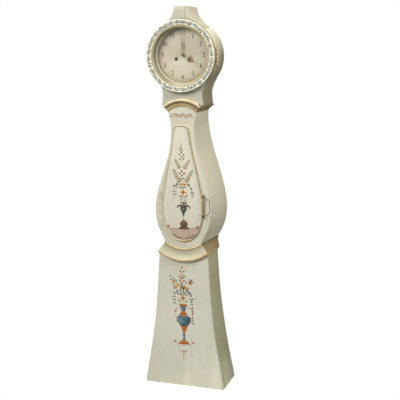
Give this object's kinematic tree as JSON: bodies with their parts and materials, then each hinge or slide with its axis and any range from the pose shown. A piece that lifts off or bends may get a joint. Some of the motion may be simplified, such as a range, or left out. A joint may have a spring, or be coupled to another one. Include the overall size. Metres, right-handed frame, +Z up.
{
  "type": "grandfather clock",
  "caption": "Painted pear-waisted longcase clock with a round glazed hood that slides off, a waist door, and a weight-driven pendulum movement.",
  "frame": {"origin": "middle of the bounding box's underside, on the floor", "axes": "+Z up, the dial and doors face -Y, +X is the viewer's right when facing the dial"},
  "size_m": [0.464, 0.2676, 2.1],
  "materials": {
    "painted_wood": "aged cream oil paint, worn and lightly stained",
    "painted_door": "aged cream oil paint with painted flowers and an urn",
    "gilded_wood": "dull old gilding, dark in the hollows",
    "bare_wood": "bare aged pine",
    "painted_dial": "aged cream dial paint with dark numerals",
    "brass": "old lacquered brass",
    "gilt_hands": "darkened gilt brass",
    "forged_iron": "dark forged iron",
    "steel": "filed steel",
    "weight_iron": "painted cast iron",
    "glass": "clear old window glass",
    "gut_line": "gut line"
  },
  "bodies": {
    "case": {"base_front_board": "painted_wood", "base_side_right": "painted_wood", "base_side_left": "painted_wood", "base_bottom_board": "bare_wood", "base_top_frame": "bare_wood", "back_board": "bare_wood", "waist_side_right": "painted_wood", "waist_side_left": "painted_wood", "waist_front_frame": "painted_wood", "collar_front": "painted_wood", "collar_right": "painted_wood", "collar_left": "painted_wood", "throat_front": "gilded_wood", "throat_right": "gilded_wood", "throat_left": "gilded_wood", "seat_board": "bare_wood", "door_hinge_lower": "forged_iron", "door_hinge_upper": "forged_iron", "dial_plate": "painted_dial", "front_plate": "brass", "back_plate": "brass", "back_cock": "brass", "bell_stand": "steel", "bell": "brass", "time_line": "gut_line", "strike_line": "gut_line"},
    "waist_door": {"waist_door": "painted_door", "door_bead": "gilded_wood", "door_hinge_leaf_lower": "forged_iron", "door_hinge_leaf_upper": "forged_iron", "bail_post_lower": "forged_iron", "bail_post_upper": "forged_iron"},
    "door_bail": {"door_bail": "forged_iron"},
    "hood": {"hood_front_board": "painted_wood", "hood_shell_right": "painted_wood", "hood_shell_left": "painted_wood", "chimney_block": "painted_wood", "ring_hinge": "brass"},
    "ring_door": {"ring_door": "painted_wood", "ring_bead": "gilded_wood", "door_glass": "glass", "ring_hinge_leaf": "brass"},
    "minute_work": {"cannon_pinion": "brass", "minute_hand": "gilt_hands"},
    "centre_arbor": {"centre_arbor": "brass"},
    "hour_work": {"hour_wheel": "brass", "hour_hand": "gilt_hands"},
    "minute_wheel": {"minute_wheel": "brass"},
    "third_wheel": {"third_wheel": "brass"},
    "escape_wheel": {"escape_wheel": "brass"},
    "fly": {"fly": "brass"},
    "time_barrel": {"time_barrel": "brass"},
    "strike_barrel": {"strike_barrel": "brass"},
    "anchor": {"anchor": "steel"},
    "pendulum": {"pendulum_rod": "steel", "pendulum_bob": "brass", "rating_nut": "brass"},
    "time_weight": {"time_weight": "weight_iron"},
    "strike_weight": {"strike_weight": "weight_iron"},
    "bell_hammer": {"bell_hammer": "steel"}
  },
  "joints": [
    {"name": "waist_door_hinge", "type": "hinge", "parent": "case", "child": "waist_door", "pos_m": [-0.1235, -0.10725, 1.02], "axis": [0, 0, -1], "range_deg": [0, 110]},
    {"name": "bail_swing", "type": "hinge", "parent": "waist_door", "child": "door_bail", "pos_m": [0.1185, -0.12185, 1.0395], "axis": [0, 0, -1], "range_deg": [0, 165]},
    {"name": "hood_slide", "type": "slide", "parent": "case", "child": "hood", "axis": [0, -1, 0], "range_m": [0, 0.35]},
    {"name": "ring_door_hinge", "type": "hinge", "parent": "hood", "child": "ring_door", "pos_m": [0.1948, -0.10345, 1.836], "axis": [0, 0, 1], "range_deg": [0, 110]},
    {"name": "minute_hand_turn", "type": "hinge", "parent": "case", "child": "minute_work", "pos_m": [0, -0.07725, 1.848], "axis": [0, 1, 0], "continuous": true},
    {"name": "hour_hand_turn", "type": "hinge", "parent": "case", "child": "hour_work", "pos_m": [0, -0.08525, 1.848], "axis": [0, 1, 0], "continuous": true},
    {"name": "minute_wheel_turn", "type": "hinge", "parent": "case", "child": "minute_wheel", "pos_m": [0.02, -0.07625, 1.862], "axis": [0, 1, 0], "continuous": true},
    {"name": "centre_arbor_turn", "type": "hinge", "parent": "case", "child": "centre_arbor", "pos_m": [0, -0.04325, 1.848], "axis": [0, 1, 0], "continuous": true},
    {"name": "third_wheel_turn", "type": "hinge", "parent": "case", "child": "third_wheel", "pos_m": [-0.018, -0.04325, 1.8707], "axis": [0, 1, 0], "continuous": true},
    {"name": "escape_wheel_turn", "type": "hinge", "parent": "case", "child": "escape_wheel", "pos_m": [0, -0.04325, 1.8866], "axis": [0, 1, 0], "continuous": true},
    {"name": "fly_turn", "type": "hinge", "parent": "case", "child": "fly", "pos_m": [0.038, -0.04325, 1.892], "axis": [0, 1, 0], "continuous": true},
    {"name": "time_weight_slide", "type": "slide", "parent": "case", "child": "time_weight", "axis": [0, 0, 1], "range_m": [0, 1.1], "deforming": ["time_line"]},
    {"name": "strike_weight_slide", "type": "slide", "parent": "case", "child": "strike_weight", "axis": [0, 0, 1], "range_m": [0, 1.1], "deforming": ["strike_line"]},
    {"name": "time_barrel_turn", "type": "hinge", "parent": "case", "child": "time_barrel", "pos_m": [0.037, -0.05325, 1.825], "axis": [0, 1, 0], "range_deg": [0, 4900]},
    {"name": "strike_barrel_turn", "type": "hinge", "parent": "case", "child": "strike_barrel", "pos_m": [-0.037, -0.05325, 1.825], "axis": [0, 1, 0], "range_deg": [-4900, 0]},
    {"name": "pendulum_swing", "type": "hinge", "parent": "case", "child": "pendulum", "pos_m": [0, 0.00075, 1.912], "axis": [0, 1, 0], "range_deg": [-4, 4]},
    {"name": "anchor_rock", "type": "hinge", "parent": "case", "child": "anchor", "pos_m": [0, -0.04325, 1.912], "axis": [0, 1, 0], "range_deg": [-4, 4]},
    {"name": "hammer_lift", "type": "hinge", "parent": "case", "child": "bell_hammer", "pos_m": [0.044, -0.04325, 1.908], "axis": [0, 1, 0], "range_deg": [0, 14], "stiffness_Nm_per_rad": 0.03, "springref_deg": -5.73}
  ],
  "couplings": [
    {"joint": "hour_hand_turn", "follows": "minute_hand_turn", "ratio": 0.083333},
    {"joint": "minute_wheel_turn", "follows": "minute_hand_turn", "ratio": -0.33333},
    {"joint": "centre_arbor_turn", "follows": "escape_wheel_turn", "ratio": 0.016667},
    {"joint": "third_wheel_turn", "follows": "escape_wheel_turn", "ratio": -0.13333},
    {"joint": "anchor_rock", "follows": "pendulum_swing", "ratio": 1},
    {"joint": "time_barrel_turn", "follows": "time_weight_slide", "rad_per_m": 76.923},
    {"joint": "strike_barrel_turn", "follows": "strike_weight_slide", "rad_per_m": -76.923}
  ]
}
